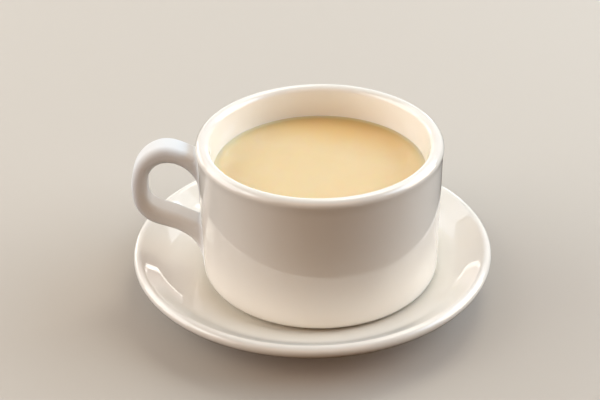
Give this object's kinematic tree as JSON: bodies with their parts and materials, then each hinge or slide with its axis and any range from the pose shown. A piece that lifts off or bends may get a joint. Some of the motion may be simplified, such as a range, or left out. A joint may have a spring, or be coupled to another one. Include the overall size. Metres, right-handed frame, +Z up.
{
  "type": "cup of tea with milk",
  "caption": "Thick-walled white porcelain cup with a loop handle, filled with milky tea to a little below its rim, standing on its saucer.",
  "frame": {"origin": "on the table, at the middle of the whole object's footprint, which is the saucer's centre", "axes": "+Z up; -X towards the handle; +Y to the back, where +X is to the right"},
  "size_m": [0.1426, 0.1426, 0.0666],
  "materials": {
    "saucer_porcelain": null,
    "cup_porcelain": null,
    "milk_tea": "opaque milky tea with a still, glossy surface"
  },
  "bodies": {
    "root": {"saucer": "saucer_porcelain", "cup": "cup_porcelain", "tea": "milk_tea"}
  },
  "joints": []
}
